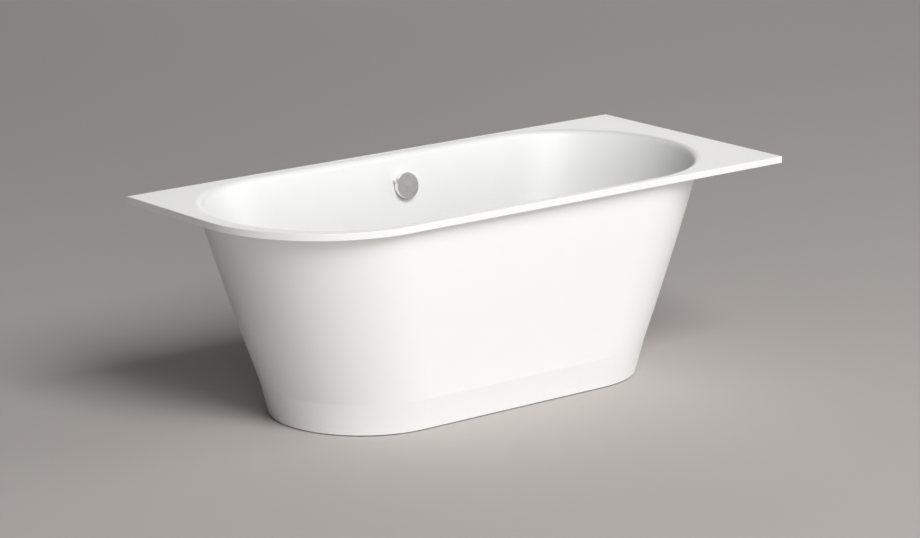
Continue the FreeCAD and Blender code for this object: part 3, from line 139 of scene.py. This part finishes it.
BOARD_LIGHT = (0.56, 0.44, 0.30)
BOARD_DARK = (0.30, 0.21, 0.13)
BOARD_ROUGHNESS = 0.85
BOARD_CHIP_SCALE = 260.0
BOARD_CHIP_DEPTH = 0.0004
BOARD_PATCH_SCALE = 35.0
BOARD_PATCH_DETAIL = 4.0
BOARD_TONE_RANGE = (0.05, 0.5)

GALVANISED = (0.50, 0.51, 0.52)
GALVANISED_METALLIC = 0.9
GALVANISED_MEAN_ROUGHNESS = 0.45
GALVANISED_ROUGHNESS = (0.55, 0.32)
GALVANISED_SHADES = (0.75, 1.2)
GALVANISED_CRYSTAL_SCALE = 150.0
GALVANISED_STAIN_SCALE = 20.0
GALVANISED_TONE_RANGE = (0.0, 0.6)
GALVANISED_GRAIN_SCALE = 120.0
GALVANISED_GRAIN_DETAIL = 4.0
GALVANISED_GRAIN_DEPTH = 0.0001

ZINC = (0.66, 0.67, 0.68)
ZINC_MEAN_ROUGHNESS = 0.3
ZINC_ROUGHNESS = (0.22, 0.42)
ZINC_SHADES = (0.8, 1.15)
ZINC_PATCH_SCALE = 180.0
ZINC_GRAIN_SCALE = 900.0
ZINC_GRAIN_DETAIL = 2.0
ZINC_GRAIN_DEPTH = 0.00002

TURNED = {
    "chrome": {"colour": (0.90, 0.88, 0.86), "roughness": (0.25, 0.31)},
    "trim_steel": {"colour": (0.55, 0.55, 0.54), "roughness": (0.28, 0.42)},
    "spindle_steel": {"colour": (0.62, 0.61, 0.60), "roughness": (0.2, 0.35)},
}
TURNED_SHADES = (0.94, 1.04)
TURNED_RING_SCALE = 900.0
TURNED_RING_DISTORTION = 0.6
TURNED_RING_DEPTH = 0.0000015
TURNED_PATCH_SCALE = 60.0

MOULDED = {
    "pad_plastic": {"colour": (0.030, 0.030, 0.032), "roughness": (0.45, 0.65), "grain": 700.0},
    "rubber": {"colour": (0.022, 0.022, 0.022), "roughness": (0.6, 0.8), "grain": 900.0},
    "white_plastic": {"colour": (0.80, 0.80, 0.785), "roughness": (0.28, 0.42), "grain": 500.0},
    "grey_plastic": {"colour": (0.30, 0.31, 0.32), "roughness": (0.4, 0.55), "grain": 700.0},
    "cable_sleeve": {"colour": (0.035, 0.035, 0.037), "roughness": (0.4, 0.55), "grain": 600.0},
}
MOULDED_IOR = 1.46
MOULDED_SHADES = (0.9, 1.05)
MOULDED_FLOW_SCALE = 25.0
MOULDED_FLOW_DETAIL = 2.0
MOULDED_FLOW_STRETCH = (1.0, 1.0, 3.0)
MOULDED_GRAIN_DETAIL = 2.0
MOULDED_GRAIN_DEPTH = 0.00003

FLOOR_COLOUR = (0.522, 0.491, 0.468)
FLOOR_ROUGHNESS = 0.9
FLOOR_PATCH_SCALE = 0.8
FLOOR_PATCH_DETAIL = 2.0
FLOOR_PATCH_SHADE = 0.985

# The range that most of a noise lies in, alone and added to rings
NOISE_RANGE = (0.3, 0.7)
NOISE_AND_RINGS_RANGE = (0.3, 1.7)


class Finish:
    """A procedural material whose textures follow the piece's own coordinates in metres."""

    def __init__(self, name, colour, roughness, metallic=0.0, ior=1.5, coat=0.0,
                 coat_roughness=0.1):
        self.material = bpy.data.materials.new(name)
        self.material.use_nodes = True
        self.tree = self.material.node_tree
        self.shader = self.tree.nodes["Principled BSDF"]
        self.place = self.add("ShaderNodeTexCoord").outputs["Object"]
        self.set(self.shader, "Base Color", (*colour, 1.0))
        self.set(self.shader, "Roughness", roughness)
        self.set(self.shader, "Metallic", metallic)
        self.set(self.shader, "IOR", ior)
        self.set(self.shader, "Coat Weight", coat)
        self.set(self.shader, "Coat Roughness", coat_roughness)
        self.material.diffuse_color = (*colour, 1.0)

    def add(self, kind, **settings):
        node = self.tree.nodes.new(kind)
        for name, value in settings.items():
            setattr(node, name, value)
        return node

    def set(self, node, socket, value):
        """Give a socket a plain value, or the output of another node."""
        if isinstance(value, bpy.types.NodeSocket):
            self.tree.links.new(value, node.inputs[socket])
        else:
            node.inputs[socket].default_value = value

    def turned(self, centre, turn):
        """Textures that come next follow an axis of their own through a centre."""
        node = self.add("ShaderNodeMapping", vector_type="TEXTURE")
        self.set(node, "Vector", self.place)
        self.set(node, "Location", centre)
        self.set(node, "Rotation", turn)
        self.place = node.outputs["Vector"]
        return self

    def noise(self, scale, detail=3.0, stretch=(1.0, 1.0, 1.0)):
        mapping = self.add("ShaderNodeMapping")
        self.set(mapping, "Vector", self.place)
        self.set(mapping, "Scale", stretch)
        node = self.add("ShaderNodeTexNoise")
        self.set(node, "Vector", mapping.outputs["Vector"])
        self.set(node, "Scale", scale)
        self.set(node, "Detail", detail)
        return node.outputs["Fac"]

    def cells(self, scale, output="Color"):
        node = self.add("ShaderNodeTexVoronoi")
        self.set(node, "Vector", self.place)
        self.set(node, "Scale", scale)
        return node.outputs[output]

    def rings(self, scale, distortion):
        node = self.add("ShaderNodeTexWave", wave_type="RINGS", rings_direction="Z")
        self.set(node, "Vector", self.place)
        self.set(node, "Scale", scale)
        self.set(node, "Distortion", distortion)
        return node.outputs["Fac"]

    def spread(self, value, low, high, start=0.0, end=1.0):
        """Stretch a value from start..end to low..high."""
        node = self.add("ShaderNodeMapRange")
        self.set(node, "Value", value)
        self.set(node, "From Min", start)
        self.set(node, "From Max", end)
        self.set(node, "To Min", low)
        self.set(node, "To Max", high)
        return node.outputs["Result"]

    def joined(self, operation, one, other):
        """Two values added, multiplied or otherwise worked into one."""
        node = self.add("ShaderNodeMath", operation=operation)
        self.set(node, 0, one)
        self.set(node, 1, other)
        return node.outputs["Value"]

    def blend(self, amount, low, high):
        """Colour between two colours."""
        node = self.add("ShaderNodeMix", data_type="RGBA")
        self.set(node, "Factor", amount)
        for socket, colour in zip([i for i in node.inputs if i.type == "RGBA"], (low, high)):
            socket.default_value = (*colour, 1.0)
        return next(output for output in node.outputs if output.type == "RGBA")

    def colour(self, value):
        self.set(self.shader, "Base Color", value)

    def roughness(self, value):
        self.set(self.shader, "Roughness", value)

    def bump(self, height, depth):
        """Raise the surface by a depth in metres where the height is 1."""
        node = self.add("ShaderNodeBump")
        self.set(node, "Strength", 1.0)
        self.set(node, "Distance", depth)
        self.set(node, "Height", height)
        self.set(self.shader, "Normal", node.outputs["Normal"])
        return self


def shade(colour, factor):
    return tuple(channel * factor for channel in colour)


def shades(colour, factors):
    return [shade(colour, factor) for factor in factors]


# Finishes, one for each material slot

def acrylic(name, colour, coat):
    """Cast sheet, faintly wavy from the mould, a little hazier in broad patches."""
    finish = Finish(name, colour, ACRYLIC_MEAN_ROUGHNESS, ior=ACRYLIC_IOR, coat=coat,
                    coat_roughness=ACRYLIC_COAT_ROUGHNESS)
    patches = finish.noise(ACRYLIC_PATCH_SCALE, ACRYLIC_PATCH_DETAIL)
    finish.colour(finish.blend(patches, shade(colour, ACRYLIC_PATCH_SHADE), colour))
    finish.roughness(finish.spread(patches, *ACRYLIC_ROUGHNESS, *NOISE_RANGE))
    waves = finish.noise(ACRYLIC_WAVE_SCALE, ACRYLIC_WAVE_DETAIL)
    return finish.bump(waves, ACRYLIC_WAVE_DEPTH)


def particle_board(name):
    """Pressed wood chips of mixed size and tone."""
    finish = Finish(name, BOARD_LIGHT, BOARD_ROUGHNESS)
    chips = finish.cells(BOARD_CHIP_SCALE)
    patches = finish.noise(BOARD_PATCH_SCALE, BOARD_PATCH_DETAIL)
    mixed = finish.joined("MULTIPLY", chips, patches)
    tone = finish.spread(mixed, 0.0, 1.0, *BOARD_TONE_RANGE)
    finish.colour(finish.blend(tone, BOARD_DARK, BOARD_LIGHT))
    return finish.bump(finish.cells(BOARD_CHIP_SCALE, "Distance"), BOARD_CHIP_DEPTH)


def galvanised(name):
    """Hot-dip zinc with crystal patches and grey stains."""
    finish = Finish(name, GALVANISED, GALVANISED_MEAN_ROUGHNESS, metallic=GALVANISED_METALLIC)
    crystals = finish.cells(GALVANISED_CRYSTAL_SCALE)
    stained = finish.joined("MULTIPLY", crystals, finish.noise(GALVANISED_STAIN_SCALE))
    tone = finish.spread(stained, 0.0, 1.0, *GALVANISED_TONE_RANGE)
    finish.colour(finish.blend(tone, *shades(GALVANISED, GALVANISED_SHADES)))
    finish.roughness(finish.spread(tone, *GALVANISED_ROUGHNESS))
    grain = finish.noise(GALVANISED_GRAIN_SCALE, GALVANISED_GRAIN_DETAIL)
    return finish.bump(grain, GALVANISED_GRAIN_DEPTH)


def zinc_plate(name):
    """Bright zinc on turned steel, duller in patches."""
    finish = Finish(name, ZINC, ZINC_MEAN_ROUGHNESS, metallic=1.0)
    patches = finish.noise(ZINC_PATCH_SCALE)
    finish.colour(finish.blend(patches, *shades(ZINC, ZINC_SHADES)))
    finish.roughness(finish.spread(patches, *ZINC_ROUGHNESS))
    return finish.bump(finish.noise(ZINC_GRAIN_SCALE, ZINC_GRAIN_DETAIL), ZINC_GRAIN_DEPTH)


def turned_metal(name, centre, turn, colour, roughness):
    """Metal with fine lathe rings round an axis."""
    finish = Finish(name, colour, sum(roughness) / 2, metallic=1.0).turned(centre, turn)
    rings = finish.rings(TURNED_RING_SCALE, TURNED_RING_DISTORTION)
    patches = finish.noise(TURNED_PATCH_SCALE)
    finish.colour(finish.blend(patches, *shades(colour, TURNED_SHADES)))
    wear = finish.joined("ADD", rings, patches)
    finish.roughness(finish.spread(wear, *roughness, *NOISE_AND_RINGS_RANGE))
    return finish.bump(rings, TURNED_RING_DEPTH)


def moulded(name, colour, roughness, grain):
    """Moulded plastic or rubber with a fine grain and faint flow marks."""
    finish = Finish(name, colour, sum(roughness) / 2, ior=MOULDED_IOR)
    flow = finish.noise(MOULDED_FLOW_SCALE, MOULDED_FLOW_DETAIL, MOULDED_FLOW_STRETCH)
    finish.colour(finish.blend(flow, *shades(colour, MOULDED_SHADES)))
    finish.roughness(finish.spread(flow, *roughness, *NOISE_RANGE))
    return finish.bump(finish.noise(grain, MOULDED_GRAIN_DETAIL), MOULDED_GRAIN_DEPTH)


SHARED = {
    "tub_acrylic": acrylic("tub_acrylic", TUB_WHITE, TUB_COAT),
    # The skirt's finish carries painted light in its lighter white.
    "skirt_acrylic": acrylic("skirt_acrylic", SKIRT_WHITE_WITH_PAINTED_LIGHT, SKIRT_COAT),
    "board_wood": particle_board("board_wood"),
    "frame_steel": galvanised("frame_steel"),
    "zinc_fasteners": zinc_plate("zinc_fasteners"),
}
for slot, settings in MOULDED.items():
    SHARED[slot] = moulded(slot, **settings)

# Turned pieces on the knob's axis, which crosses the inclined wall of the basin

KNOB_PIECES = ("overflow_knob", "overflow_trim", "trim_screws", "control_spindle")
KNOB_JOINT = next(row for row in frame["joints"] if row["name"] == "knob_turn")
KNOB_CENTRE = Vector(KNOB_JOINT["pos_m"])
KNOB_TURN = Vector(KNOB_JOINT["axis"]).to_track_quat("Z", "Y").to_euler()
UPRIGHT = Euler((0.0, 0.0, 0.0))


def finish_for(slot, node):
    """The finish of a slot; turned metal follows the axis of its own piece."""
    if slot not in TURNED:
        return SHARED[slot]
    if node in KNOB_PIECES:
        centre, turn = KNOB_CENTRE, KNOB_TURN
    else:
        low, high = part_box(node)
        centre, turn = (low + high) / 2, UPRIGHT
    return turned_metal(slot + "_" + node, centre, turn, **TURNED[slot])


for row in frame["record"]["subparts"]:
    node = frame["nodes"][row["node"]]
    finish = finish_for(row["material_slot"], row["node"])
    node.data.materials.clear()
    node.data.materials.append(finish.material)


def built(name, vertices, faces):
    """Object from points and faces, without doubled points or flat faces."""
    mesh = bpy.data.meshes.new(name)
    mesh.from_pydata(vertices, [], faces)
    shape = bmesh.new()
    shape.from_mesh(mesh)
    bmesh.ops.remove_doubles(shape, verts=shape.verts, dist=MERGE_DISTANCE)
    bmesh.ops.dissolve_degenerate(shape, edges=shape.edges, dist=MERGE_DISTANCE)
    shape.to_mesh(mesh)
    shape.free()
    thing = bpy.data.objects.new(name, mesh)
    bpy.context.scene.collection.objects.link(thing)
    return thing


# Foot studs

def threaded_stud(name, low, high):
    """Rod that fills a box, with a helical thread and chamfered ends."""
    centre = (low + high) / 2
    outer = (high.x - low.x) / 2
    length = high.z - low.z
    vertices = []
    rings = []
    for turn in range(-1, int(length / THREAD_PITCH) + 2):
        for step, at_root in THREAD_PROFILE:
            ring = []
            for segment in range(THREAD_SEGMENTS + 1):
                share = segment / THREAD_SEGMENTS
                along = min(max((turn + step + share) * THREAD_PITCH, 0.0), length)
                end_cut = max(STUD_CHAMFER - along, STUD_CHAMFER - (length - along), 0.0)
                radius = outer - max(THREAD_DEPTH if at_root else 0.0, end_cut)
                angle = share * math.tau
                ring.append(len(vertices))
                vertices.append((centre.x + radius * math.cos(angle),
                                 centre.y + radius * math.sin(angle), low.z + along))
            rings.append(ring)
    faces = [
        (lower[i], lower[i + 1], upper[i + 1], upper[i])
        for lower, upper in zip(rings, rings[1:]) for i in range(THREAD_SEGMENTS)
    ]
    faces.append(tuple(reversed(rings[0][:-1])))
    faces.append(tuple(rings[-1][:-1]))
    return built(name, vertices, faces)


for foot in FEET:
    node = "foot_stud_" + foot
    stud = threaded_stud("threaded_stud_" + foot, *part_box(node))
    stud.data.materials.append(SHARED["zinc_fasteners"].material)
    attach(stud, "foot_" + foot)
    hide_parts(node)


# Floor

def floor():
    angles = [math.tau * i / FLOOR_SEGMENTS for i in range(FLOOR_SEGMENTS)]
    points = [(FLOOR_RADIUS * math.cos(angle), FLOOR_RADIUS * math.sin(angle), 0.0)
              for angle in angles]
    ground = built("floor", points, [tuple(range(FLOOR_SEGMENTS))])
    finish = Finish("floor_paint", FLOOR_COLOUR, FLOOR_ROUGHNESS)
    patches = finish.noise(FLOOR_PATCH_SCALE, FLOOR_PATCH_DETAIL)
    finish.colour(finish.blend(patches, shade(FLOOR_COLOUR, FLOOR_PATCH_SHADE), FLOOR_COLOUR))
    ground.data.materials.append(finish.material)


floor()


# Lamps, world and camera

def lamp(name, azimuth, elevation, width, watts):
    light = bpy.data.lights.new(name, "AREA")
    light.shape = "SQUARE"
    light.size = width
    light.energy = watts
    light.color = LAMP_COLOUR
    holder = bpy.data.objects.new(name, light)
    bpy.context.scene.collection.objects.link(holder)
    heading = math.radians(azimuth)
    rise = math.radians(elevation)
    away = Vector((math.cos(heading) * math.cos(rise), math.sin(heading) * math.cos(rise),
                   math.sin(rise)))
    holder.location = Vector(LAMP_AIM) + away * LAMP_DISTANCE
    holder.rotation_euler = away.to_track_quat("Z", "Y").to_euler()
    holder.visible_camera = False


for name, settings in LAMPS.items():
    lamp(name + "_lamp", **settings)


def world():
    """Dim light all round; the camera and mirrored or bent rays see the background instead."""
    space = bpy.data.worlds.new("studio")
    space.use_nodes = True
    tree = space.node_tree
    light = tree.nodes["Background"]
    light.inputs["Color"].default_value = (*WORLD_COLOUR, 1.0)
    light.inputs["Strength"].default_value = WORLD_STRENGTH
    seen = tree.nodes.new("ShaderNodeBackground")
    seen.inputs["Color"].default_value = (*BACKGROUND_COLOUR, 1.0)
    path = tree.nodes.new("ShaderNodeLightPath")
    either = path.outputs["Is Camera Ray"]
    for ray in ("Is Glossy Ray", "Is Transmission Ray"):
        larger = tree.nodes.new("ShaderNodeMath")
        larger.operation = "MAXIMUM"
        tree.links.new(either, larger.inputs[0])
        tree.links.new(path.outputs[ray], larger.inputs[1])
        either = larger.outputs["Value"]
    chooser = tree.nodes.new("ShaderNodeMixShader")
    tree.links.new(either, chooser.inputs["Fac"])
    tree.links.new(light.outputs["Background"], chooser.inputs[1])
    tree.links.new(seen.outputs["Background"], chooser.inputs[2])
    tree.links.new(chooser.outputs["Shader"], tree.nodes["World Output"].inputs["Surface"])
    bpy.context.scene.world = space


world()


def camera():
    view = bpy.data.cameras.new("camera")
    view.sensor_width = SENSOR_WIDTH_MM
    view.lens = CAMERA_LENS_MM
    view.clip_end = CLIP_FAR
    holder = bpy.data.objects.new("camera", view)
    bpy.context.scene.collection.objects.link(holder)
    level = Euler((math.pi / 2 + CAMERA_PITCH, 0.0, CAMERA_HEADING)).to_matrix()
    rolled = level @ Matrix.Rotation(CAMERA_ROLL, 3, "Z")
    holder.location = CAMERA_PLACE
    holder.rotation_euler = rolled.to_euler()
    bpy.context.scene.camera = holder


camera()
bpy.context.scene.view_settings.view_transform = "Standard"
